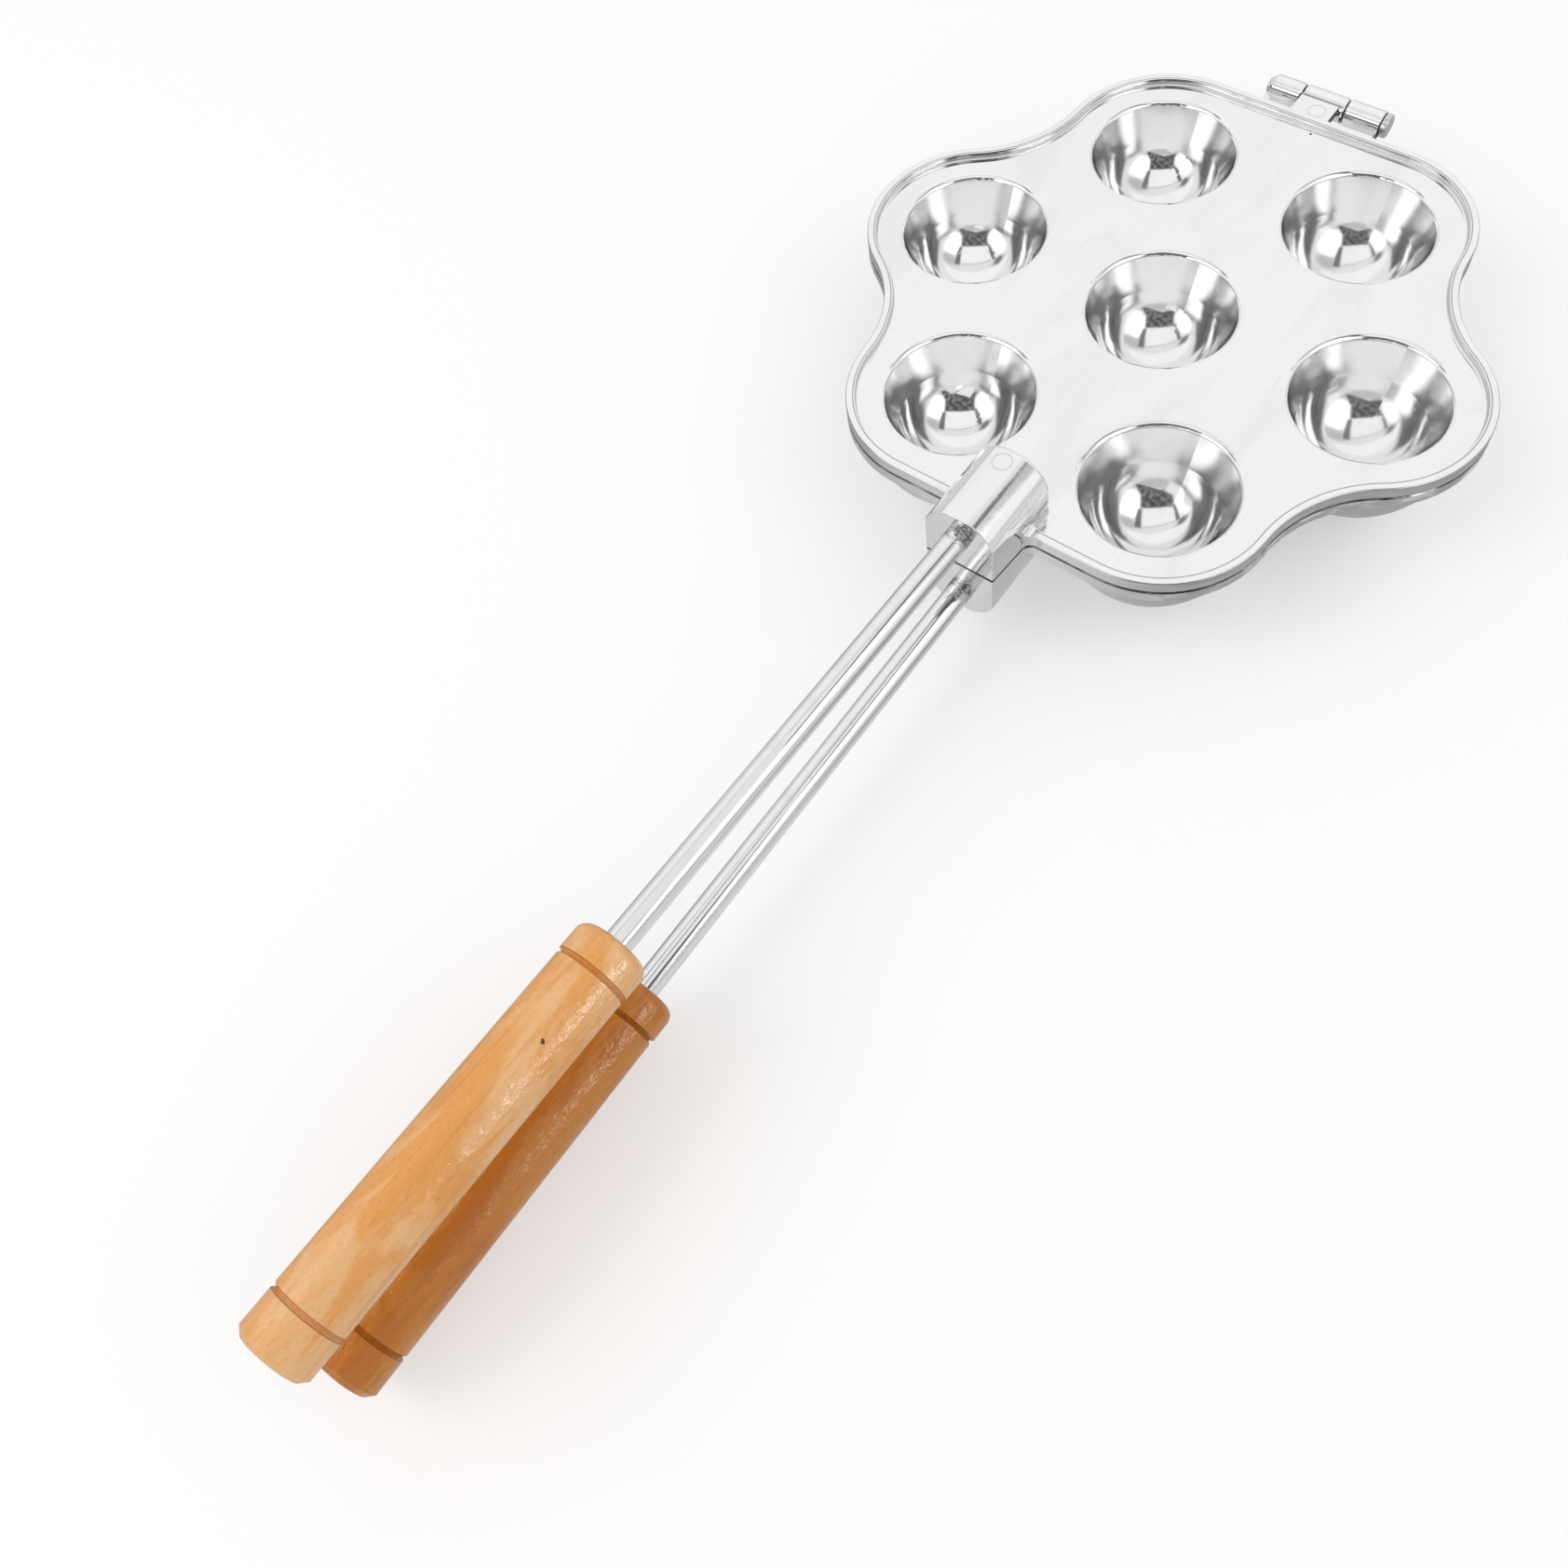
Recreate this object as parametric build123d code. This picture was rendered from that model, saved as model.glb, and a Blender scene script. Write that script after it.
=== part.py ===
from build123d import *
import os
from math import atan2, cos, degrees, radians, sin, sqrt, tan

# Hinged egg tart mould, closed: seven domes of the upper plate hang in seven cups of the
# lower plate, and each plate has a rod and a turned handle.
# Millimetres. The origin is the middle of the centre cup's foot, +Z is up and +X runs from
# the handles to the hinge.

# Cup layout and plate outline
cup_spacing = 72.0
lobe_radius = 36.4
notch_depth = 8.75
web_thickness = 2.3
plate_gap = 0.3
rim_width = 2.9
rim_height = 2.0
rim_fillet = 0.5
floor_fillet = 0.9
parting_chamfer = 0.35

# Hollow of a dome below the upper web, with its round lip and its wall
mouth_radius = 24.6
lip_fillet = 2.2
hollow_slope = 21.0
hollow_cone_depth = 12.2
dome_wall = 2.4
root_fillet = 0.8

# Cup below the lower plate's mating face, which a dome hangs in with space for the tart
cup_mouth_radius = 30.03
mouth_fillet = 1.0
cup_slope = 10.0
cup_cone_depth = 11.0
cup_wall = 2.4
foot_radius = 4.5

# Boss that holds the rod
boss_half_width = 12.8
boss_front_half_width = 11.9
boss_height = 22.0
boss_flat_half_width = 3.6
boss_crown_blend = 8.0
boss_front_reach = 17.3
boss_inner_reach = 12.3
boss_front_fillet = 0.4
boss_end_fillet = 1.6
boss_corner_fillet = 3.5
boss_blend = 3.0
blend_centre_share = 0.94
core_depth = 0.1
socket_depth = 25.0

# Rods, each leaning away from the parting plane by an angle of its own
rod_radius = 4.0
rod_height = 13.8
rod_free_length = 156.0
rod_chamfer = 0.6
seat_clearance = 0.02
upper_lean = 2.1
lower_lean = 0.7

# Handles
handle_length = 124.0
handle_radius = 10.6
collar_radius = 10.9
front_round = 3.4
groove_width = 1.7
groove_depth = 0.9
front_groove = 10.2
rear_groove = 12.6
rear_chamfer = 1.8
handle_socket = 42.0

# Hinge
hinge_reach = 12.2
knuckle_radius = 4.2
knuckle_gap = 0.5
knuckle_chamfer = 0.5
knuckle_end_chamfer = 1.3
centre_knuckle_length = 15.6
centre_knuckle_shift = 1.3
left_knuckle_length = 11.8
right_knuckle_length = 13.1
lug_height = 3.2
lug_notch = 1.8
pin_radius = 2.0
pin_running_clearance = 0.06
pin_head_radius = 3.9
pin_head_thickness = 2.0
pin_head_gap = 0.3
pin_head_fillet = 0.6
pin_tail_radius = 2.7
pin_tail_height = 0.9
pin_tail_fillet = 0.5

# Overrun of cuts, and how near an edge or corner lies to the place it is picked by
overrun = 1.0
pick_distance = 0.02

# Six lobes round the centre cup, with a flat side in place of a notch at each end
lobe_count = 6
lobe_turn = 360 / lobe_count
lobe_angles = [lobe_turn * (i + 1 / 2) for i in range(lobe_count)]
half_lobes = lobe_angles[:lobe_count // 2]
half_notches = [angle + lobe_turn / 2 for angle in half_lobes[:-1]]


# Ball tangent to a cone: its radius, and the depth of its centre below the cone's mouth
def tangent_ball(mouth, depth, slope):
    ball = (mouth - depth * tan(radians(slope))) / cos(radians(slope))
    return ball, depth - ball * sin(radians(slope))


# Heights, from the cups' feet up
cup_ball, cup_centre_depth = tangent_ball(cup_mouth_radius, cup_cone_depth, cup_slope)
cup_centre = sqrt((cup_ball + cup_wall) ** 2 - foot_radius ** 2)
mating_down = cup_centre + cup_centre_depth
web_bottom = mating_down - web_thickness
parting = mating_down + plate_gap / 2
mating_up = parting + plate_gap / 2
web_top = mating_up + web_thickness
rim_top = web_top + rim_height

# Forms of the hollow and of the cup: mouth radius, mouth height, slope, ball and its centre
hollow_ball, hollow_centre_depth = tangent_ball(mouth_radius, hollow_cone_depth, hollow_slope)
hollow_form = (mouth_radius, web_top, hollow_slope, hollow_ball, web_top - hollow_centre_depth)
cup_form = (cup_mouth_radius, mating_down, cup_slope, cup_ball, cup_centre)

# Plan of the outline
lobe_line = cup_spacing * cos(radians(half_lobes[0]))
flat_line = lobe_line + lobe_radius
half_gap = sqrt(cup_spacing ** 2 - lobe_line ** 2)
notch_radius = (half_gap ** 2 + notch_depth ** 2) / (2 * notch_depth) - lobe_radius
notch_centre = flat_line - notch_depth + notch_radius
boss_front = -flat_line - boss_front_reach
boss_inner = -flat_line + boss_inner_reach
boss_length = boss_inner - boss_front
taper_start = -flat_line - boss_corner_fillet
core_half_width = boss_half_width - core_depth
boss_round_height = boss_height - sqrt(boss_half_width ** 2 - boss_flat_half_width ** 2)
hinge_line = flat_line + hinge_reach
centre_low = centre_knuckle_shift - centre_knuckle_length / 2
centre_high = centre_knuckle_shift + centre_knuckle_length / 2
left_low = centre_high + knuckle_gap
left_high = left_low + left_knuckle_length
right_high = centre_low - knuckle_gap
right_low = right_high - right_knuckle_length


# Point at a distance and direction from the origin
def polar(radius, angle):
    return Vector(radius * cos(radians(angle)), radius * sin(radians(angle)))


# Direction from one point to another, in degrees
def heading(start, end):
    return degrees(atan2(end.Y - start.Y, end.X - start.X))


# Closed plan: six lobes, four hollow notches, and a flat side at each end
def plate_outline(inset):
    lobes = [polar(cup_spacing, angle) for angle in half_lobes]
    notches = [polar(notch_centre, angle) for angle in half_notches]
    lobe = lobe_radius - inset
    notch = notch_radius + inset
    flat = flat_line - inset
    starts = [0] + [heading(lobes[i + 1], notches[i]) for i in range(len(notches))]
    ends = [heading(lobes[i], notches[i]) for i in range(len(notches))] + [180]
    edges = [Line((flat, 0), (flat, lobes[0].Y))]
    for i, centre in enumerate(lobes):
        edges.append(CenterArc(centre, lobe, starts[i], (ends[i] - starts[i]) % 360))
        if i < len(notches):
            first = heading(notches[i], lobes[i])
            turn = (first - heading(notches[i], lobes[i + 1])) % 360
            edges.append(CenterArc(notches[i], notch, first, -turn))
    edges.append(Line((-flat, lobes[-1].Y), (-flat, 0)))
    edges.append(Line((-flat, 0), (flat, 0)))
    half = make_face(edges)
    return half + mirror(half, Plane.XZ)


# Radius of a form, grown by an outset, at a height on its cone
def cone_radius(form, outset, height):
    mouth, mouth_height, slope, _, _ = form
    return mouth + outset / cos(radians(slope)) + (height - mouth_height) * tan(radians(slope))


# Solid bowl of a form, grown by an outset: a cone that ends in its ball
def bowl(form, outset, top, bottom=None):
    _, _, slope, ball, centre = form
    ball += outset
    lip = cone_radius(form, outset, top)
    seam = (ball * cos(radians(slope)), centre - ball * sin(radians(slope)))
    low = centre - ball if bottom is None else bottom
    reach = 0 if bottom is None else sqrt(ball ** 2 - (centre - low) ** 2)
    middle = (radians(slope) + atan2(centre - low, reach)) / 2
    halfway = (ball * cos(middle), centre - ball * sin(middle))
    edges = [
        Line((0, top), (lip, top)),
        Line((lip, top), seam),
        ThreePointArc(seam, halfway, (reach, low)),
        Line((0, low), (0, top)),
    ]
    if reach > 0:
        edges.append(Line((reach, low), (0, low)))
    return revolve(Plane.XZ * make_face(edges), Axis.Z)


# Copies of one bowl at the seven cup centres
def at_cups(solid):
    centres = [Vector(0, 0)] + [polar(cup_spacing, angle) for angle in lobe_angles]
    return [Pos(centre.X, centre.Y, 0) * solid for centre in centres]


# Fillet on every ring of one radius at one height
def round_rings(body, radius, height, fillet_radius):
    rings = [
        ring for ring in body.edges().filter_by(GeomType.CIRCLE)
        if abs(ring.radius - radius) < pick_distance and abs(ring.center().Z - height) < pick_distance
    ]
    return fillet(rings, fillet_radius)


# The two corners of a plan that lie alike on each side of the X axis
def corners_at(plan, x, y):
    return [
        corner for corner in plan.vertices()
        if abs(corner.X - x) < pick_distance and abs(abs(corner.Y) - y) < pick_distance
    ]


# Plan of the core of the plate that the boss is cast over, just inside the boss
def boss_core():
    front = taper_start - core_depth
    inner = boss_inner - core_depth
    plan = Pos((front + inner) / 2, 0) * Rectangle(inner - front, 2 * core_half_width)
    return fillet(corners_at(plan, inner, core_half_width), boss_end_fillet - core_depth)


# Hollow-faced fillets from the top of the rim up the two sides of the boss
def boss_blends():
    offset = boss_blend * blend_centre_share
    reach = boss_half_width + offset
    block = Pos(0, offset / 2) * Rectangle(2 * reach, offset)
    for side in (-1, 1):
        block -= Pos(side * reach, offset) * Circle(boss_blend)
    return extrude(Plane.YZ.offset(taper_start) * Pos(0, rim_top) * block, boss_corner_fillet + rim_width)


# Flat casting of the upper half: the web, the raised rim and the core of the boss
def rimmed_plate():
    plan = plate_outline(0) + boss_core()
    plan = fillet(corners_at(plan, -flat_line, core_half_width), boss_corner_fillet)
    slab = extrude(Pos(0, 0, mating_up) * plan, web_thickness + rim_height)
    slab = fillet(slab.edges().group_by(Axis.Z)[-1], rim_fillet)
    slab += boss_blends() & extrude(Pos(0, 0, web_top) * plan, rim_height + boss_blend)
    plan = plate_outline(rim_width) - boss_core()
    plan = fillet(corners_at(plan, rim_width - flat_line, core_half_width), boss_end_fillet)
    pocket = extrude(Pos(0, 0, web_top) * plan, rim_height + boss_blend + overrun)
    pocket = fillet(pocket.edges().group_by(Axis.Z)[0], floor_fillet)
    return slab - pocket


# Wedges that narrow the boss from the plate to its front
def boss_tapers():
    wedge = make_face(Polyline(
        (taper_start, boss_half_width),
        (boss_front, boss_front_half_width),
        (boss_front - overrun, boss_front_half_width),
        (boss_front - overrun, boss_half_width + overrun),
        (taper_start, boss_half_width + overrun),
        close=True,
    ))
    wedges = extrude(Pos(0, 0, parting) * wedge, boss_height + overrun)
    return wedges + mirror(wedges, Plane.XZ)


# Boss: straight sides under a round top with a narrow flat, rounded at both ends
def rod_boss():
    side = Pos(0, boss_round_height / 2) * Rectangle(2 * boss_half_width, boss_round_height)
    crown = Pos(0, boss_round_height) * Circle(boss_half_width)
    limit = Pos(0, boss_height / 2) * Rectangle(2 * boss_half_width, boss_height)
    section = (side + crown) & limit
    section = fillet(section.vertices().group_by(Axis.Y)[-1], boss_crown_blend)
    body = extrude(Plane.YZ.offset(boss_front) * Pos(0, mating_up) * section, boss_length)
    body -= boss_tapers()
    for end, radius in ((0, boss_front_fillet), (-1, boss_end_fillet)):
        edges = body.edges().group_by(Axis.X)[end]
        body = fillet([edge for edge in edges if edge.center().Z > mating_up + pick_distance], radius)
    return body


# The upper half's casting with its boss, before domes, cups and knuckles
def half_casting():
    casting = rimmed_plate() + rod_boss()
    return chamfer(casting.edges().group_by(Axis.Z)[0], parting_chamfer)


# Frame of a rod: its origin is in the boss's front face and its Z runs to the handle
def rod_plane(side, lean):
    angle = radians(lean)
    start = (boss_front, 0, parting + side * rod_height)
    return Plane(origin=start, x_dir=(0, 1, 0), z_dir=(-cos(angle), 0, side * sin(angle)))


# Blind bore that the rod is seated in
def rod_socket(side, lean):
    bore = Cylinder(rod_radius + seat_clearance, socket_depth + overrun)
    return rod_plane(side, lean) * Pos(0, 0, (overrun - socket_depth) / 2) * bore


# One barrel of the hinge, with a chamfer at its low and its high end
def knuckle(low, high, low_chamfer=knuckle_chamfer, high_chamfer=knuckle_chamfer):
    barrel = Cylinder(knuckle_radius, high - low)
    rings = barrel.edges().filter_by(GeomType.CIRCLE).sort_by(Axis.Z)
    barrel = chamfer(rings[-1], low_chamfer)
    rings = barrel.edges().filter_by(GeomType.CIRCLE).sort_by(Axis.Z)
    barrel = chamfer(rings[0], high_chamfer)
    return Pos(hinge_line, (low + high) / 2, parting) * Rot(90, 0, 0) * barrel


# Lug from the plate's rim to a knuckle, on the side of the parting plane that is asked for
def lug(low, high, side):
    length = hinge_line - flat_line + rim_width / 2
    height = lug_height - plate_gap / 2
    middle = parting + side * (plate_gap / 2 + height / 2)
    return Pos(hinge_line - length / 2, (low + high) / 2, middle) * Box(length, high - low, height)


# Bore for the pin through one knuckle
def pin_bore(low, high, clearance):
    bore = Cylinder(pin_radius + clearance, high - low + 2 * overrun)
    return Pos(hinge_line, (low + high) / 2, parting) * Rot(90, 0, 0) * bore


# Upper half: rimmed plate with seven hollow domes, the centre knuckle and its boss
def upper_plate():
    body = half_casting()
    for dome in at_cups(bowl(hollow_form, dome_wall, web_top)):
        body += dome
    body = round_rings(body, cone_radius(hollow_form, dome_wall, mating_up), mating_up, root_fillet)
    for hollow in at_cups(bowl(hollow_form, 0, web_top + overrun)):
        body -= hollow
    body = round_rings(body, mouth_radius, web_top, lip_fillet)
    body += knuckle(centre_low, centre_high) + lug(centre_low + lug_notch, centre_high, 1)
    body -= pin_bore(centre_low, centre_high, pin_running_clearance)
    return body - rod_socket(1, upper_lean)


# Lower half: the same plate turned over, with seven cups and the two outer knuckles
def lower_plate():
    body = mirror(half_casting(), Plane.XY.offset(parting))
    for cup in at_cups(bowl(cup_form, cup_wall, mating_down, 0)):
        body += cup
    body = round_rings(body, cone_radius(cup_form, cup_wall, web_bottom), web_bottom, root_fillet)
    for hollow in at_cups(bowl(cup_form, 0, mating_down + overrun)):
        body -= hollow
    body = round_rings(body, cup_mouth_radius, mating_down, mouth_fillet)
    body += knuckle(left_low, left_high, high_chamfer=knuckle_end_chamfer) + knuckle(right_low, right_high)
    for low, high in ((left_low, left_high), (right_low, right_high)):
        body += lug(low, high, -1)
        body -= pin_bore(low, high, seat_clearance)
    return body - rod_socket(-1, lower_lean)


# Pin with a turned head below the right knuckle and a peened tail past the left one
def hinge_pin():
    head_top = right_low - pin_head_gap
    tail_low = left_high + seat_clearance
    shank = Cylinder(pin_radius, tail_low - head_top)
    head = Cylinder(pin_head_radius, pin_head_thickness)
    head = fillet(head.edges().filter_by(GeomType.CIRCLE).sort_by(Axis.Z)[-1], pin_head_fillet)
    tail = Cylinder(pin_tail_radius, pin_tail_height)
    tail = fillet(tail.edges().filter_by(GeomType.CIRCLE).sort_by(Axis.Z)[0], pin_tail_fillet)
    body = Pos(0, 0, -(tail_low + head_top) / 2) * shank
    body += Pos(0, 0, pin_head_thickness / 2 - head_top) * head
    body += Pos(0, 0, -tail_low - pin_tail_height / 2) * tail
    return Pos(hinge_line, 0, parting) * Rot(90, 0, 0) * body


# Round bar with chamfered ends, from the socket in the boss into the handle
def rod(side, lean):
    length = socket_depth + rod_free_length + handle_socket
    body = Cylinder(rod_radius, length)
    body = chamfer(body.edges().filter_by(GeomType.CIRCLE), rod_chamfer)
    return rod_plane(side, lean) * Pos(0, 0, length / 2 - socket_depth) * body


# Turned handle: rounded front, a groove near each end, and a chamfered back
def handle(side, lean):
    bore = rod_radius + seat_clearance
    half_groove = groove_width / 2
    rear = handle_length - rear_groove
    round_share = sin(radians(45))
    front_arc = ThreePointArc(
        (collar_radius - front_round, 0),
        (collar_radius - front_round + front_round * round_share, front_round - front_round * round_share),
        (collar_radius, front_round),
    )
    outline = Polyline(
        (collar_radius, front_round),
        (collar_radius, front_groove - half_groove),
        (handle_radius - groove_depth, front_groove),
        (handle_radius, front_groove + half_groove),
        (handle_radius, rear - half_groove),
        (handle_radius - groove_depth, rear),
        (handle_radius, rear + half_groove),
        (handle_radius, handle_length - rear_chamfer),
        (handle_radius - rear_chamfer, handle_length),
        (0, handle_length),
        (0, handle_socket),
        (bore, handle_socket),
        (bore, 0),
        (collar_radius - front_round, 0),
    )
    body = revolve(Plane.XZ * make_face([front_arc, outline]), Axis.Z)
    return rod_plane(side, lean) * Pos(0, 0, rod_free_length) * body


pieces = {
    "upper_plate": upper_plate(),
    "lower_plate": lower_plate(),
    "hinge_pin": hinge_pin(),
    "upper_rod": rod(1, upper_lean),
    "lower_rod": rod(-1, lower_lean),
    "upper_handle": handle(1, upper_lean),
    "lower_handle": handle(-1, lower_lean),
}
os.makedirs("parts", exist_ok=True)
for name, piece in pieces.items():
    export_step(piece, f"parts/{name}.step")
    print(name, "volume", round(piece.volume))
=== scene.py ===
from math import cos, radians, sin

import bmesh
import bpy
from mathutils import Matrix, Vector

# The mould's looks, and the studio round it. Sizes are in mm where no note says otherwise
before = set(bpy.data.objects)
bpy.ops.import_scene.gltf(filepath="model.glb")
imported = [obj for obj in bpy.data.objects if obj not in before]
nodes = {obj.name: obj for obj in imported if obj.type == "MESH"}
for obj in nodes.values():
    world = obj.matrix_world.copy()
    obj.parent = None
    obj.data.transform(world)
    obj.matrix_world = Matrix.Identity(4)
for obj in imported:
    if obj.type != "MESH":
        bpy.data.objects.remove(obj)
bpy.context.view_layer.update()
scene = bpy.context.scene
scene.view_settings.view_transform = "Standard"
mm = 0.001                              # in the scene's metres
print("frame: loaded", len(nodes), "CAD nodes")

cameraSetup = {
    "place": (-324.95, -146.73, 400.69),
    "aim": (-205.18, -1.35, 39.25),
    "roll": -15.04,                     # degrees
    "lens": 33.353,
    "sensor": 36.0,
    "clip": (0.01, 50.0),               # metres
}


def addCamera():
    data = bpy.data.cameras.new("photoCamera")
    data.lens = cameraSetup["lens"]
    data.sensor_width = cameraSetup["sensor"]
    data.clip_start, data.clip_end = cameraSetup["clip"]
    made = bpy.data.objects.new("photoCamera", data)
    scene.collection.objects.link(made)
    place = Vector(cameraSetup["place"]) * mm
    toAim = Vector(cameraSetup["aim"]) * mm - place
    roll = Matrix.Rotation(radians(cameraSetup["roll"]), 3, "Z")
    turn = toAim.to_track_quat("-Z", "Y").to_matrix() @ roll
    made.matrix_world = Matrix.Translation(place) @ turn.to_4x4()
    scene.camera = made
    return made


camera = addCamera()


# A socket that can be added, multiplied and so on in Python
class Wire:
    def __init__(self, sheet, socket):
        self.sheet = sheet
        self.socket = socket

    def calc(self, operation, *others):
        values = {i: value for i, value in enumerate((self,) + others)}
        return self.sheet.node("ShaderNodeMath", {"operation": operation}, values)

    def __add__(self, other):
        return self.calc("ADD", other)

    def __radd__(self, other):
        return self.calc("ADD", other)

    def __sub__(self, other):
        return self.calc("SUBTRACT", other)

    def __rsub__(self, other):
        return self.sheet.node("ShaderNodeMath", {"operation": "SUBTRACT"}, {0: other, 1: self})

    def __mul__(self, other):
        return self.calc("MULTIPLY", other)

    def __rmul__(self, other):
        return self.calc("MULTIPLY", other)

    def __truediv__(self, other):
        return self.calc("DIVIDE", other)

    def __pow__(self, other):
        return self.calc("POWER", other)

    def __abs__(self):
        return self.calc("ABSOLUTE")


class Sheet:
    def __init__(self, tree):
        self.tree = tree
        tree.nodes.clear()

    # Any node: its type, its settings first, then the values or links of its sockets
    def node(self, kind, settings=None, inputs=None, out=0):
        made = self.tree.nodes.new(kind)
        for name, value in (settings or {}).items():
            setattr(made, name, value)
        for name, value in (inputs or {}).items():
            if isinstance(value, Wire):
                self.tree.links.new(value.socket, made.inputs[name])
            else:
                made.inputs[name].default_value = value
        return Wire(self, made.outputs[out]) if len(made.outputs) else None

    def outputs(self, wire, *names):
        return [Wire(self, wire.socket.node.outputs[name]) for name in names]

    # Smooth step of a value between two limits
    def step(self, value, low, high, toLow=0.0, toHigh=1.0):
        settings = {"interpolation_type": "SMOOTHSTEP", "clamp": True}
        inputs = {"Value": value, "From Min": low, "From Max": high, "To Min": toLow, "To Max": toHigh}
        return self.node("ShaderNodeMapRange", settings, inputs)

    # 1 between two limits, with soft edges
    def slab(self, value, low, high, soft):
        return self.step(value, low - soft, low + soft) * (1 - self.step(value, high - soft, high + soft))

    # 1 where a value is near zero, fading between two distances from it
    def line(self, value, near, far):
        return 1 - self.step(abs(value), near, far)

    # 1 inside an ellipse, with a soft edge
    def oval(self, x, y, centre, radii, soft):
        across = ((x - centre[0]) / radii[0]) ** 2 + ((y - centre[1]) / radii[1]) ** 2
        return 1 - self.step(across ** 0.5, 1 - soft, 1 + soft)

    def distance(self, x, y, centre=(0, 0)):
        return ((x - centre[0]) ** 2 + (y - centre[1]) ** 2) ** 0.5

    def mixColour(self, factor, first, second):
        return self.node("ShaderNodeMix", {"data_type": "RGBA"}, {0: factor, 6: first, 7: second}, 2)

    def stretch(self, vector, scale, turn=(0, 0, 0), shift=(0, 0, 0)):
        return self.node("ShaderNodeMapping", {"vector_type": "POINT"}, {
            "Vector": vector, "Location": shift, "Rotation": turn, "Scale": scale,
        })

    # Noise as a pattern's dictionary gives it. The scale goes along x, y and z
    def noise(self, vector, pattern, turn=(0, 0, 0), shift=(0, 0, 0)):
        return self.node("ShaderNodeTexNoise", None, {
            "Vector": self.stretch(vector, pattern["scale"], turn, shift), "Scale": 1,
            "Detail": pattern["detail"], "Roughness": pattern["roughness"],
            "Distortion": pattern.get("distortion", 0),
        })

    # The same in patches: 0 below the pattern's range, 1 above it
    def patches(self, vector, pattern, turn=(0, 0, 0), shift=(0, 0, 0)):
        return self.step(self.noise(vector, pattern, turn, shift), *pattern["range"])

    # Object coordinates in mm: the vector, then x, y and z
    def place(self):
        metres = self.node("ShaderNodeTexCoord", None, None, "Object")
        vector = self.stretch(metres, even(1 / mm))
        parts = self.node("ShaderNodeSeparateXYZ", None, {0: vector})
        return [vector] + self.outputs(parts, "X", "Y", "Z")

    # How far the surface's normal points along y and along z, either way
    def slants(self):
        normal = self.node("ShaderNodeTexCoord", None, None, "Normal")
        parts = self.node("ShaderNodeSeparateXYZ", None, {0: normal})
        return [abs(wire) for wire in self.outputs(parts, "Y", "Z")]

    def glow(self, strength):
        return self.node("ShaderNodeEmission", None, {"Color": grey(1), "Strength": strength})

    def bump(self, height, strength, distance):
        inputs = {"Strength": strength, "Distance": distance, "Height": height}
        return self.node("ShaderNodeBump", None, inputs)

    def surface(self, colour, metallic, roughness, normal=None):
        inputs = {"Base Color": colour, "Metallic": metallic, "Roughness": roughness}
        if normal:
            inputs["Normal"] = normal
        self.finish(self.node("ShaderNodeBsdfPrincipled", None, inputs))

    def finish(self, shader):
        self.node("ShaderNodeOutputMaterial", None, {"Surface": shader})


def newMaterial(name):
    material = bpy.data.materials.new(name)
    material.use_nodes = True
    return material, Sheet(material.node_tree)


def linear(colour):
    return tuple(c / 12.92 if c <= 0.04045 else ((c + 0.055) / 1.055) ** 2.4 for c in colour) + (1.0,)


def grey(level):
    return (level, level, level, 1.0)


def even(scale):
    return (scale, scale, scale)


studio = {
    "light": 0.72,                      # what the surroundings give to matt surfaces
    "white": 0.97,                      # what metal sees of them overhead
    "low": 0.6,                         # and near the floor
    "horizon": (-0.1, 0.4),             # heights that low and white belong to
    "lampSize": 0.9,                    # metres, as the lamps' places are
    "lamps": ((4.4, (-0.9, 0.7, 1.3)), (2.0, (0.2, -1.1, 1.25))),
}

floorPaper = {
    "halfSize": 5000,
    "colour": 0.72,
    "glow": (600, 2000, 0.36, 0.48),    # its own light near and far
    "mirrored": 0.75,                   # what metal sees of it
    "shadowPools": (((20, -110), (205, 115)), ((20, 120), (190, 110)), ((-310, 95), (120, 95))),
    "poolSoft": 0.45,
    "poolMirrored": 0.37,               # what metal sees of it in the painted shadow pools
}

# Front wall of the light tent, round the opening for the camera: mm to the right of and above
# the middle, on a plane that stands in front of the lens. Only reflections see it
tent = {
    "plane": -25,
    "halfSize": 1600,
    "cloth": 0.985,
    "above": (0.84, 437, 640),          # level, bottom and top of the band over the opening
    "aboveSoft": 12,
    "shades": ((0.55, (520, 410), (260, 130), 0.5), (0.5, (-680, 590), (310, 110), 0.5),
               (0.2, (-590, 545), (175, 105), 0.35)),
    "table": (0.56, -170, -60),
    "boxes": ((1.5, (-750, 40), (440, 330), 0.1), (1.2, (560, 130), (180, 150), 0.3),
              (1.5, (400, 90), (165, 195), 0.14)),
    # Strips, frame and panel: level, left and right side with their slants, softness,
    # bottom and top, softness. The slants turn about pivot's height
    "pivot": 165,
    "sheets": ((0.18, (199, 0.2), (262, 0.36), 12, (150, 470), 18),
               (0.18, (-302, -0.56), (-240, -0.29), 14, (115, 455), 22),
               (0.5, (-345, 0), (215, 0), 8, (422, 446), 5),
               (0.97, (-236, -0.36), (190, 0.07), 8, (178, 425), 10)),
}

opening = {
    "level": 0.12,
    "mottle": {"scale": even(0.016), "detail": 4, "roughness": 0.7, "range": (0.4, 0.66)},
    "mottleLight": (-0.07, 0.2),
    "left": (-235, 0, 0.5),             # place, height where its slant starts, slant
    "right": (222, -20, -0.75),
    "bottom": (-95, -20, -0.3),
    "top": 142,
    "soft": (16, 9),
}

# Cards that only reflections see: a white one over the grips for the ends of the rods, and a
# bright one to the side that glints in the lacquer
cards = {
    "fillCard": {"place": (-250, -20, 125), "aim": (-250, -20, 0), "halfSize": (80, 38), "light": 0.9},
    "glintCard": {"place": (-105, -926, 402), "aim": (-285, -6, 66), "halfSize": (70, 70), "light": 45.0},
}


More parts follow.
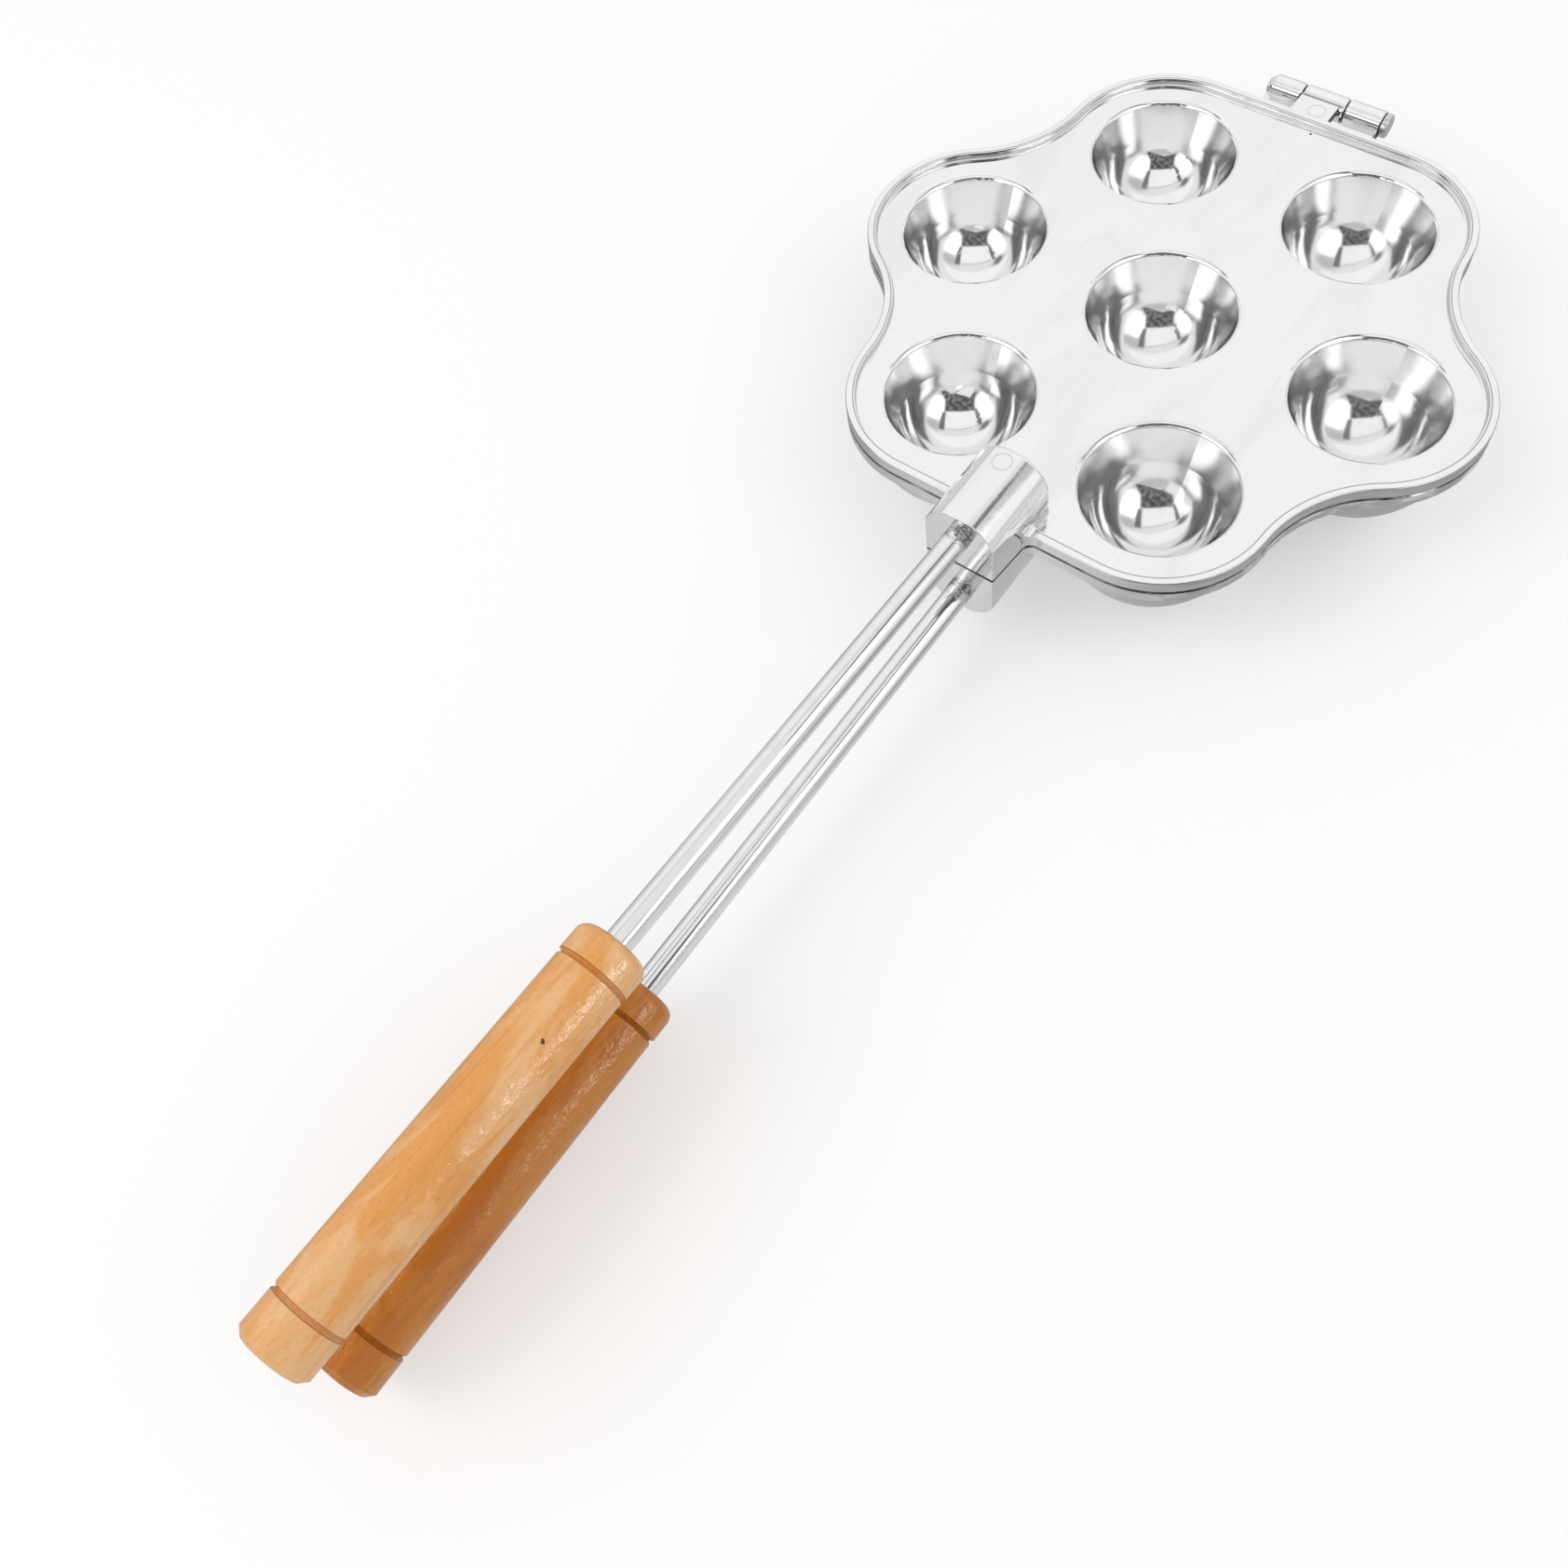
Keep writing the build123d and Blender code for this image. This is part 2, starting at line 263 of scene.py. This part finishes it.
def addWorld():
    world = bpy.data.worlds.new("tentWorld")
    scene.world = world
    world.use_nodes = True
    sheet = Sheet(world.node_tree)
    path = sheet.node("ShaderNodeLightPath")
    toCamera, toMetal = sheet.outputs(path, "Is Camera Ray", "Is Glossy Ray")
    toGlass, = sheet.outputs(path, "Is Transmission Ray")
    way = sheet.node("ShaderNodeTexCoord", None, None, "Generated")
    height, = sheet.outputs(sheet.node("ShaderNodeSeparateXYZ", None, {0: way}), "Z")
    mirrored = sheet.step(height, *studio["horizon"], studio["low"], studio["white"])
    strength = toMetal.calc("MAXIMUM", toGlass) * (mirrored - studio["light"]) + studio["light"]
    strength = strength + toCamera * (1 - studio["light"])
    background = sheet.node("ShaderNodeBackground", None, {"Color": grey(1), "Strength": strength})
    sheet.node("ShaderNodeOutputWorld", None, {"Surface": background})


# A flat sheet of the studio, centred on its origin
def addPlane(name, halfWidth, halfHeight):
    mesh = bpy.data.meshes.new(name)
    form = bmesh.new()
    bmesh.ops.create_grid(form, x_segments=1, y_segments=1, size=mm)
    bmesh.ops.scale(form, vec=(halfWidth, halfHeight, 1), verts=form.verts)
    form.to_mesh(mesh)
    form.free()
    plane = bpy.data.objects.new(name, mesh)
    scene.collection.objects.link(plane)
    material, sheet = newMaterial(name)
    mesh.materials.append(material)
    return plane, sheet


def showToMirrorsOnly(plane):
    plane.visible_camera = False
    plane.visible_diffuse = False
    plane.visible_shadow = False


def addFloor():
    halfSize = floorPaper["halfSize"]
    sheet = addPlane("floor", halfSize, halfSize)[1]
    x, y = sheet.place()[1:3]
    # Painted shadow pools round the object, in what metal sees of the floor
    shadowPools = 0
    for centre, radii in floorPaper["shadowPools"]:
        shadowPools = sheet.oval(x, y, centre, radii, floorPaper["poolSoft"]).calc("MAXIMUM", shadowPools)
    mirrored = floorPaper["mirrored"] + (floorPaper["poolMirrored"] - floorPaper["mirrored"]) * shadowPools
    matt = sheet.node("ShaderNodeBsdfDiffuse", None, {"Color": grey(floorPaper["colour"])})
    ownLight = sheet.glow(sheet.step(sheet.distance(x, y), *floorPaper["glow"]))
    lit = sheet.node("ShaderNodeAddShader", None, {0: matt, 1: ownLight})
    toCamera, toMetal = sheet.outputs(sheet.node("ShaderNodeLightPath"), "Is Camera Ray", "Is Glossy Ray")
    plain = sheet.node("ShaderNodeMixShader", None, {0: toCamera, 1: matt, 2: lit})
    sheet.finish(sheet.node("ShaderNodeMixShader", None, {0: toMetal, 1: plain, 2: sheet.glow(mirrored)}))


# Darkness of the opening, and 1 inside it
def openingMask(sheet, vector, x, y):
    def side(along, place, start, slant):
        return place + (along - start).calc("MINIMUM", 0) * slant

    bottomPlace, bottomMiddle, bottomSlant = opening["bottom"]
    bottom = bottomPlace + abs(x - bottomMiddle) * bottomSlant
    softAcross, softUp = opening["soft"]
    noise = sheet.noise(vector, opening["mottle"])
    mottle = sheet.step(noise, *opening["mottle"]["range"], *opening["mottleLight"])
    inside = sheet.slab(x, side(y, *opening["left"]), side(y, *opening["right"]), softAcross)
    return mottle + opening["level"], inside * sheet.slab(y, bottom, opening["top"], softUp)


def addTent():
    wall, sheet = addPlane("tentFront", tent["halfSize"], tent["halfSize"])
    wall.matrix_world = camera.matrix_world @ Matrix.Translation((0, 0, tent["plane"] * mm))
    showToMirrorsOnly(wall)
    vector, x, y = sheet.place()[:3]
    light = tent["cloth"]

    def lay(level, mask):
        return light + (level - light) * mask

    level, low, high = tent["above"]
    light = lay(level, sheet.slab(y, low, high, tent["aboveSoft"]))
    for level, *form in tent["shades"]:
        light = lay(level, sheet.oval(x, y, *form))
    level, low, high = tent["table"]
    light = lay(level, 1 - sheet.step(y, low, high))
    for level, *form in tent["boxes"]:
        light = lay(level, sheet.oval(x, y, *form))
    light = lay(*openingMask(sheet, vector, x, y))
    rise = y - tent["pivot"]
    for level, left, right, softAcross, (low, high), softUp in tent["sheets"]:
        inside = sheet.slab(x, rise * left[1] + left[0], rise * right[1] + right[0], softAcross)
        light = lay(level, inside * sheet.slab(y, low, high, softUp))
    sheet.finish(sheet.glow(light))


def addCards():
    for name, values in cards.items():
        card, sheet = addPlane(name, *values["halfSize"])
        place = Vector(values["place"])
        card.location = place * mm
        card.rotation_euler = (Vector(values["aim"]) - place).to_track_quat("-Z", "Y").to_euler()
        showToMirrorsOnly(card)
        sheet.finish(sheet.glow(values["light"]))


def addLamps():
    for i, (power, place) in enumerate(studio["lamps"]):
        data = bpy.data.lights.new(f"softLamp{i}", "AREA")
        data.shape = "SQUARE"
        data.size = studio["lampSize"]
        data.energy = power
        lamp = bpy.data.objects.new(f"softLamp{i}", data)
        scene.collection.objects.link(lamp)
        lamp.location = place
        lamp.rotation_euler = (-Vector(place)).to_track_quat("-Z", "Y").to_euler()
        lamp.visible_camera = False
        lamp.visible_glossy = False


addWorld()
addFloor()
addTent()
addCards()
addLamps()
print("studio: world, floor, tent, cards and lamps")


# Heights and plan of the plates
plate = {
    "webTop": 39.24,
    "parting": 36.79,
    "pitch": 72.0,
    "rimTop": 41.24,
    "rimWidth": 2.9,
    "rimReach": (80, 81),               # the rim lies further from the middle than this
    "cupReach": (32, 33),               # and the plate's edge further than this from a cup's axis
    "wallTop": (36.24, 38.24),          # z where a hollow's wall ends at its lip
    "wallBottom": (24.0, 31.0),         # z where it meets its ball
    "lobeRadius": 36.4,
    "notchCentre": 132.04,              # from the middle, at 60 degrees
    "notchRadius": 42.03,
    "pastBoss": {"gap": (-100, -96), "brow": (-99, -97), "edge": (-100, -94)},   # x where these begin
}

# Shares of a normal that point along z, and what they belong to
slant = {
    "level": (0.8, 0.9),
    "steep": (0.3, 0.7),
    "upright": (0.1, 0.3),
    "endFace": (0.75, 0.9),             # along y
}

casting = {
    "colour": (0.955, 0.955, 0.957),
    "dull": (0.88, 0.88, 0.885),
    "gap": (0.07, 0.07, 0.07),
    "foot": (0.62, 0.62, 0.62),
    "roughness": 0.1,
    "uneven": (0.75, 1.35),             # shares of the roughness, from place to place
    "wallRoughness": 0.17,              # in the hollows, over the ball
    "scratchLift": 0.07,                # what scratches add to it
    "dulling": (0.35, 0.35, 0.12),      # by smears, scratches and grain
    "bump": (0.35, 0.00008),
    "relief": {"waves": 0.6, "lumps": 1.3, "grain": 0.06, "scratches": -0.2},
    "lumpsFrom": (1, 3),                # over the rim, where the boss is uneven
    "pitDepth": 3,
    "cloud": {"scale": even(0.035), "detail": 4, "roughness": 0.55, "range": (0.3, 0.75)},
    "smear": {"scale": (0.016, 0.05, 0.05), "detail": 4, "roughness": 0.6, "distortion": 0.6,
              "range": (0.42, 0.72)},
    "smearTurn": (0, 0, 0.6),
    "grain": {"scale": even(0.9), "detail": 3, "roughness": 0.6, "range": (0.55, 0.75)},
    "waves": {"scale": even(0.16), "detail": 2, "roughness": 0.5},
    "lumps": {"scale": even(0.28), "detail": 3, "roughness": 0.6},
    "gapBreaks": {"scale": even(0.07), "detail": 3, "roughness": 0.6, "range": (0.36, 0.5)},
    "streaks": {"scale": (0.05, 0.05, 1.1), "detail": 3, "roughness": 0.6, "range": (0.5, 0.68)},
    "filed": {"scale": (0.11, 0.11, 0.45), "detail": 3, "roughness": 0.6, "range": (0.42, 0.62)},
}

# Wiping scratches: sparse long noise in a few directions, broken up by a slower one
scratches = {
    # Turn in radians, fineness, shift
    "sets": ((0.35, 2.3, 0), (1.15, 1.8, 40), (2.35, 2.6, 90), (2.9, 1.5, 150)),
    "length": 0.035,
    "height": 0.3,
    "lines": {"detail": 1, "roughness": 0.4, "range": (0.69, 0.77)},
    "places": {"scale": even(0.02), "detail": 2, "roughness": 0.5, "range": (0.5, 0.62)},
    "placeShift": 5,
}

# Painted shade along the parting gap, the rim's foot and inner edge and round the hinge, painted dark
# reflections along the rim's rounded edges and the knuckles, and darker edge streaks and ejector rings:
# how strong they are, and the distances between which they fade
shadeAndMarks = {
    "gap": (0.92, 0.42, 0.75),
    "gapBreakStrength": 0.6,
    "rimFoot": (0.6, 0.1, 0.8, 0.12),   # strength, bottom and top over the web, softness
    "rimBrow": (0.9, 0.5, 0.05, 0.03),  # strength, bottom and top under the rim's top, softness
    "rimInner": (0.8, 0.35, 0.08),      # its sides, in from the rim's inner edge, softness
    "rimTopHalf": (0.2, 0.05),          # how thick the rim's top is taken to be, softness
    "edgeStreaks": 0.35,
    "ring": (0.35, 0.12, 0.34),
    "ringHeight": (1, 2),               # from the parting, so that the mating faces have none
    "hinge": 0.85,
}

# Where painted shade and the knuckles' painted dark reflection sit round the hinge
hinge = {
    "lugs": (99.2, 99.5),               # x where the lugs begin
    "plateEdge": (98.4, 98.8),
    "gapEnd": (99.0, 99.6),             # x where the parting line ends
    "barrels": (106.2, 108.6),          # x of the barrels' near sides
    "barrelSoft": 0.2,
    "barrelLine": 2.0,                  # height of their painted dark reflection line over the parting
    "lineFade": (0.12, 0.34),
    "gaps": (-11.0, 12.0),              # y between the outer knuckles' ends
    "gapSoft": 0.2,
    "headEnd": (-20.4, -19.8),          # y of the end beside the pin's head
    "headSoft": 0.08,
    "centre": (-6.4, 9.0),              # y of the centre knuckle
    "centreSoft": 0.1,
    "foot": (107.95, 108.5),            # x where it meets its lug
    "footSoft": 0.12,
    "footHeight": (39.7, 39.9),
    "footStrength": 0.8,
}

# Ejector marks (centre, radius, depth), pits (centre, radius), and how strong the rim's painted shade
# lines and the filed places are
upperMarks = {
    "rings": (((-92.1, 0.8), 3.0, 2.5), ((102.8, 0.8), 2.9, 2.5)),
    "pits": (((92.7, -2.5), 0.55),),
    "foot": 0.8,
    "filed": 0.3,
}
lowerMarks = {
    "rings": (((-92.1, 0), 3.0, 2.5),),
    "pits": (),
    "foot": 0.0,
    "filed": 0.5,
}


# Distance from the nearest cup's axis
def cupDistance(x, y):
    nearest = x ** 2 + y ** 2
    for angle in range(30, 390, 60):
        across = x - plate["pitch"] * cos(radians(angle))
        along = y - plate["pitch"] * sin(radians(angle))
        nearest = nearest.calc("MINIMUM", across ** 2 + along ** 2)
    return nearest ** 0.5


# Distance in from the outline, right only near the rim. The plan has two mirror lines
def edgeDistance(sheet, x, y):
    side, up = abs(x), abs(y)
    middle = plate["pitch"] * cos(radians(30))
    half = plate["pitch"] / 2
    first = (side - middle) ** 2 + (up - half).calc("MAXIMUM", 0) ** 2
    second = x ** 2 + (up - plate["pitch"]) ** 2
    lobe = plate["lobeRadius"] - first.calc("MINIMUM", second) ** 0.5
    across = side * cos(radians(60)) + up * sin(radians(60))
    along = up * cos(radians(60)) - side * sin(radians(60))
    short = plate["notchCentre"] - across
    notch = (short ** 2 + along ** 2) ** 0.5 - plate["notchRadius"]
    spread = half / (plate["notchCentre"] - middle)
    inNotch = sheet.step(short * spread - abs(along), -0.1, 0.1)
    return lobe + (notch - lobe) * inNotch


def scratchMarks(sheet, vector):
    marks = 0
    for turn, fineness, shift in scratches["sets"]:
        drawn = dict(scratches["lines"], scale=(scratches["length"], fineness, scratches["height"]))
        lines = sheet.patches(vector, drawn, (0, 0, turn), (shift, 0, 0))
        places = sheet.patches(vector, scratches["places"], shift=(shift, scratches["placeShift"], 0))
        marks = marks + lines * places
    return marks.calc("MINIMUM", 1)


# Painted shade in the parting gap, broken here and there along the plates
def gapShade(sheet, vector, x, z, lean, outside):
    strength, near, far = shadeAndMarks["gap"]
    gap = sheet.line(z - plate["parting"], near, far) * (1 - sheet.step(lean, *slant["level"]))
    gap = gap * outside * (1 - sheet.step(x, *hinge["gapEnd"]))
    gapBreaks = (1 - sheet.patches(vector, casting["gapBreaks"])) * sheet.step(x, *plate["pastBoss"]["gap"])
    gapBreaks = gapBreaks * shadeAndMarks["gapBreakStrength"]
    return gap * (1 - gapBreaks) * strength


# Lines along the rim: painted shade at its foot, a painted dark reflection on its rounded edges, then
# painted shade on its top by the inner edge
def rimShadeLines(sheet, x, z, lean):
    strength, low, high, soft = shadeAndMarks["rimFoot"]
    foot = sheet.slab(z, plate["webTop"] + low, plate["webTop"] + high, soft) * strength
    foot = foot * sheet.step(lean, *slant["upright"])
    strength, low, high, soft = shadeAndMarks["rimBrow"]
    brow = sheet.slab(z, plate["rimTop"] - low, plate["rimTop"] - high, soft) * strength
    brow = brow * sheet.step(x, *plate["pastBoss"]["brow"])
    return foot.calc("MAXIMUM", brow) * (1 - sheet.step(x, *hinge["plateEdge"]))


def innerShadeLine(sheet, x, y, z):
    far, near, soft = shadeAndMarks["rimInner"]
    inner = plate["rimWidth"]
    line = sheet.slab(edgeDistance(sheet, x, y), inner - far, inner - near, soft)
    half, soft = shadeAndMarks["rimTopHalf"]
    line = line * sheet.slab(z, plate["rimTop"] - half, plate["rimTop"] + half, soft)
    return line * sheet.step(sheet.distance(x, y), *plate["rimReach"])


# Painted dark reflection along the knuckles, and painted shade between them, by the pin's head and at the
# centre knuckle's foot
def hingeShadeLines(sheet, x, y, z, across):
    barrel = sheet.line(z - (plate["parting"] + hinge["barrelLine"]), *hinge["lineFade"])
    barrel = barrel * sheet.slab(x, *hinge["barrels"], hinge["barrelSoft"])
    ends = sheet.step(across, *slant["endFace"]) * sheet.slab(y, *hinge["gaps"], hinge["gapSoft"])
    ends = ends.calc("MAXIMUM", sheet.slab(y, *hinge["headEnd"], hinge["headSoft"]))
    ends = ends * sheet.step(x, *hinge["lugs"])
    foot = sheet.slab(x, *hinge["foot"], hinge["footSoft"])
    foot = foot * sheet.slab(y, *hinge["centre"], hinge["centreSoft"])
    foot = foot * sheet.step(z, *hinge["footHeight"]) * hinge["footStrength"]
    return barrel.calc("MAXIMUM", ends).calc("MAXIMUM", foot) * shadeAndMarks["hinge"]


def castingMaterial(name, marks):
    material, sheet = newMaterial(name)
    vector, x, y, z = sheet.place()
    across, lean = sheet.slants()
    outside = sheet.step(cupDistance(x, y), *plate["cupReach"])
    scratched = scratchMarks(sheet, vector)
    grain = sheet.noise(vector, casting["grain"])

    def paint(mask, tone):
        return sheet.mixColour(mask, colour, linear(casting[tone]))

    # Smears, scratches and grain dull the metal
    bySmear, byScratch, byGrain = casting["dulling"]
    dull = sheet.patches(vector, casting["smear"], casting["smearTurn"]) * bySmear
    dull = dull + scratched * byScratch + sheet.step(grain, *casting["grain"]["range"]) * byGrain
    colour = sheet.mixColour(dull, linear(casting["colour"]), linear(casting["dull"]))

    smooth, rough = [share * casting["roughness"] for share in casting["uneven"]]
    roughness = sheet.patches(vector, casting["cloud"]) * (rough - smooth) + smooth
    wall = (1 - sheet.step(z, *plate["wallTop"])) * sheet.step(z, *plate["wallBottom"])
    roughness = roughness + wall * (casting["wallRoughness"] - casting["roughness"])
    roughness = roughness + scratched * casting["scratchLift"]

    # Painted shade in the parting gap
    colour = paint(gapShade(sheet, vector, x, z, lean, outside), "gap")
    # Painted shade at the rim's foot and by its inner edge, and a painted dark reflection on its rounded
    # edges
    colour = paint(rimShadeLines(sheet, x, z, lean) * marks["foot"], "foot")
    colour = paint(innerShadeLine(sheet, x, y, z) * marks["foot"], "foot")
    # Painted shade and a painted dark reflection round the hinge
    colour = paint(hingeShadeLines(sheet, x, y, z, across), "gap")

    # Darker streaks and filed places on the plate's edge
    edge = (1 - sheet.step(lean, *slant["steep"])) * outside * sheet.step(x, *plate["pastBoss"]["edge"])
    colour = paint(edge * sheet.patches(vector, casting["streaks"]) * shadeAndMarks["edgeStreaks"], "foot")
    roughness = roughness + edge * sheet.patches(vector, casting["filed"]) * marks["filed"]

    # The boss was cast a little uneven
    lumpsLow, lumpsHigh = casting["lumpsFrom"]
    onBoss = sheet.step(z, plate["rimTop"] + lumpsLow, plate["rimTop"] + lumpsHigh)
    relief = {
        "waves": sheet.noise(vector, casting["waves"]),
        "lumps": sheet.noise(vector, casting["lumps"]) * onBoss,
        "grain": grain,
        "scratches": scratched,
    }
    height = sum(wire * casting["relief"][name] for name, wire in relief.items())
    strength, near, far = shadeAndMarks["ring"]
    for centre, radius, depth in marks["rings"]:
        ring = sheet.line(sheet.distance(x, y, centre) - radius, near, far)
        ring = ring * sheet.step(abs(z - plate["parting"]), *shadeAndMarks["ringHeight"])
        height = height - ring * depth
        colour = paint(ring * strength, "foot")
    for centre, radius in marks["pits"]:
        pit = 1 - sheet.step(sheet.distance(x, y, centre), radius / 2, radius)
        height = height - pit * casting["pitDepth"]
        colour = paint(pit, "gap")
    sheet.surface(colour, 1.0, roughness, sheet.bump(height, *casting["bump"]))
    return material


rod = {
    "colour": (0.93, 0.93, 0.935),
    "spotted": (0.86, 0.86, 0.865),
    "spotStrength": 0.5,
    "spotLift": 0.06,
    "roughness": (0.06, 0.15),
    "streaks": {"scale": (0.003, 0.5, 0.5), "detail": 3, "roughness": 0.6, "range": (0.35, 0.75)},
    "spots": {"scale": even(0.12), "detail": 4, "roughness": 0.6, "range": (0.45, 0.8)},
    "roughSpots": (0.6, 0.8),
    "rootReflection": (0.36, 0.36, 0.36),         # painted dark reflection of the boss's end face, where the rods are set in the bosses
    "rootReflectionStrength": 0.85,
    "rootRoughnessLift": 0.18,
    "rootReflectionFrom": (-117.5, -113),         # x between which it thickens
    "rootReflectionSpread": 7,                    # how far the noise moves that
    "rootNoise": {"scale": even(0.45), "detail": 3, "roughness": 0.6, "distortion": 0.5,
              "range": (0.35, 0.6)},
    "streakRelief": 0.1,
    "bump": (0.5, 0.0003),
}


def chromeMaterial():
    material, sheet = newMaterial("rodChrome")
    vector, x = sheet.place()[:2]
    streaks, spots, rootNoise = [sheet.noise(vector, rod[name]) for name in ("streaks", "spots", "rootNoise")]
    # A painted dark reflection of the boss's end face, where the rods enter the bosses, with a ragged
    # edge
    rootReflection = sheet.step(x + rootNoise * rod["rootReflectionSpread"], *rod["rootReflectionFrom"])
    rootReflection = rootReflection * sheet.step(rootNoise, *rod["rootNoise"]["range"])
    spotted = sheet.step(spots, *rod["spots"]["range"]) * rod["spotStrength"]
    colour = sheet.mixColour(spotted, linear(rod["colour"]), linear(rod["spotted"]))
    colour = sheet.mixColour(rootReflection * rod["rootReflectionStrength"], colour, linear(rod["rootReflection"]))
    roughness = sheet.step(streaks, *rod["streaks"]["range"], *rod["roughness"])
    roughness = roughness + sheet.step(spots, *rod["roughSpots"]) * rod["spotLift"]
    bump = sheet.bump(rootNoise * rootReflection + streaks * rod["streakRelief"], *rod["bump"])
    sheet.surface(colour, 1.0, roughness + rootReflection * rod["rootRoughnessLift"], bump)
    return material


pin = {
    "colour": (0.87, 0.87, 0.87),
    "turned": (0.78, 0.78, 0.78),
    "grain": {"scale": (1.5, 0.06, 1.5), "detail": 2, "roughness": 0.5, "range": (0.4, 0.7)},
    "roughRange": (0.3, 0.7),
    "roughness": (0.16, 0.3),
}


def pinMaterial():
    material, sheet = newMaterial("pinSteel")
    grain = sheet.noise(sheet.place()[0], pin["grain"])
    turned = sheet.step(grain, *pin["grain"]["range"])
    colour = sheet.mixColour(turned, linear(pin["colour"]), linear(pin["turned"]))
    sheet.surface(colour, 1.0, sheet.step(grain, *pin["roughRange"], *pin["roughness"]))
    return material


# Lacquered handles. The grain runs along each handle, which leans a little from level
upperWood = {
    "pale": (0.97, 0.75, 0.52), "warm": (0.94, 0.655, 0.345), "dark": (0.74, 0.44, 0.20),
    "deepTone": (0.55, 0.27, 0.10),
    "lean": 2.1, "front": -271.76, "height": 56.31,     # degrees, then x and z of its front end
    "seed": 0,
    "knots": (((-303.0, -5.4), 0.55),),
}
lowerWood = {
    "pale": (0.80, 0.515, 0.20), "warm": (0.755, 0.445, 0.12), "dark": (0.55, 0.28, 0.06),
    "deepTone": (0.42, 0.19, 0.05),
    "lean": -0.7, "front": -272.02, "height": 21.08,
    "seed": 230,
    "knots": (),
}
wood = {
    # Patterns that run with the grain
    "cloud": {"scale": (0.032, 0.1, 0.1), "detail": 3, "roughness": 0.55, "distortion": 0.6,
              "range": (0.41, 0.6)},
    "grain": {"scale": (0.02, 0.36, 0.36), "detail": 4, "roughness": 0.6, "distortion": 0.4},
    "pores": {"scale": (0.34, 1.7, 1.7), "detail": 2, "roughness": 0.6},
    "ripple": {"scale": (0.35, 0.7, 0.7), "detail": 2, "roughness": 0.5},
    "seedShares": (1, 0.3, 0),
    # And one that doesn't
    "speckle": {"scale": even(0.75), "detail": 3, "roughness": 0.6},
    # Layers of colour: pattern, range, strength, tone
    "layers": (("grain", (0.53, 0.72), 0.34, "dark"), ("pores", (0.6, 0.74), 0.3, "dark"),
               ("speckle", (0.5, 0.7), 0.16, "dark"), ("gaps", (0.5, 0.7), 0.14, "pale")),
    "relief": {"grain": 0.4, "pores": 0.2, "speckle": 0.35, "ripple": 1.2},
    "bump": (0.6, 0.0004),
    "glossRange": (0.35, 0.7),
    "roughness": (0.2, 0.34),
    "knot": (0.30, 0.17, 0.10),
    "knotBend": 1.6,
    "knotSquash": 0.6,
    "knotCore": 0.4,
    "grooves": (10.2, 111.4),           # from the front end
    "grooveHalf": (0.3, 0.75),          # a groove's dark bottom fades between these
    "grooveEdge": (0.68, 0.06, 0.26),   # its darker edges: where, and where they fade
    "grooveDark": 0.25,
    "edgeDarkening": 0.6,
    "frontReach": (0.2, 1.1),
    "frontDarkening": 0.4,
}


def woodMaterial(name, values):
    material, sheet = newMaterial(name)
    vector, x, y, z = sheet.place()
    lean = radians(values["lean"])
    shift = [share * values["seed"] for share in wood["seedShares"]]
    wires = {pattern: sheet.noise(vector, wood[pattern], (0, lean, 0), shift)
             for pattern in ("cloud", "grain", "pores", "ripple")}
    wires["speckle"] = sheet.noise(vector, wood["speckle"])
    wires["gaps"] = 1 - wires["speckle"]

    def paint(mask, tone):
        return sheet.mixColour(mask, colour, linear(tone))

    warm = sheet.step(wires["cloud"], *wood["cloud"]["range"])
    colour = sheet.mixColour(warm, linear(values["pale"]), linear(values["warm"]))
    for pattern, limits, strength, tone in wood["layers"]:
        colour = paint(sheet.step(wires[pattern], *limits) * strength, values[tone])
    for (knotX, knotY), radius in values["knots"]:
        bend = (wires["speckle"] - 0.5) * wood["knotBend"]
        away = sheet.distance((x - knotX + bend) * wood["knotSquash"], y - knotY + bend)
        colour = paint(1 - sheet.step(away, radius * wood["knotCore"], radius), wood["knot"])

    # Darker in the two grooves, most at their edges, and round the rod's hole
    along = values["front"] - (x * cos(lean) - (z - values["height"]) * sin(lean))
    edge, near, far = wood["grooveEdge"]
    for place in wood["grooves"]:
        off = abs(along - place)
        bottom = 1 - sheet.step(off, *wood["grooveHalf"])
        colour = paint(bottom * wood["grooveDark"], values["dark"])
        colour = paint(sheet.line(off - edge, near, far) * wood["edgeDarkening"], values["deepTone"])
    colour = paint((1 - sheet.step(along, *wood["frontReach"])) * wood["frontDarkening"], values["deepTone"])
    height = sum(wires[pattern] * share for pattern, share in wood["relief"].items())
    roughness = sheet.step(wires["speckle"], *wood["glossRange"], *wood["roughness"])
    sheet.surface(colour, 0.0, roughness, sheet.bump(height, *wood["bump"]))
    return material


def dress(node, material):
    mesh = nodes[node].data
    if not mesh.materials:
        mesh.materials.append(material)
    for i in range(len(mesh.materials)):
        mesh.materials[i] = material


dress("upper_plate", castingMaterial("upperCasting", upperMarks))
dress("lower_plate", castingMaterial("lowerCasting", lowerMarks))
dress("hinge_pin", pinMaterial())
chrome = chromeMaterial()
dress("upper_rod", chrome)
dress("lower_rod", chrome)
dress("upper_handle", woodMaterial("upperWood", upperWood))
dress("lower_handle", woodMaterial("lowerWood", lowerWood))
print("materials: all nodes dressed")
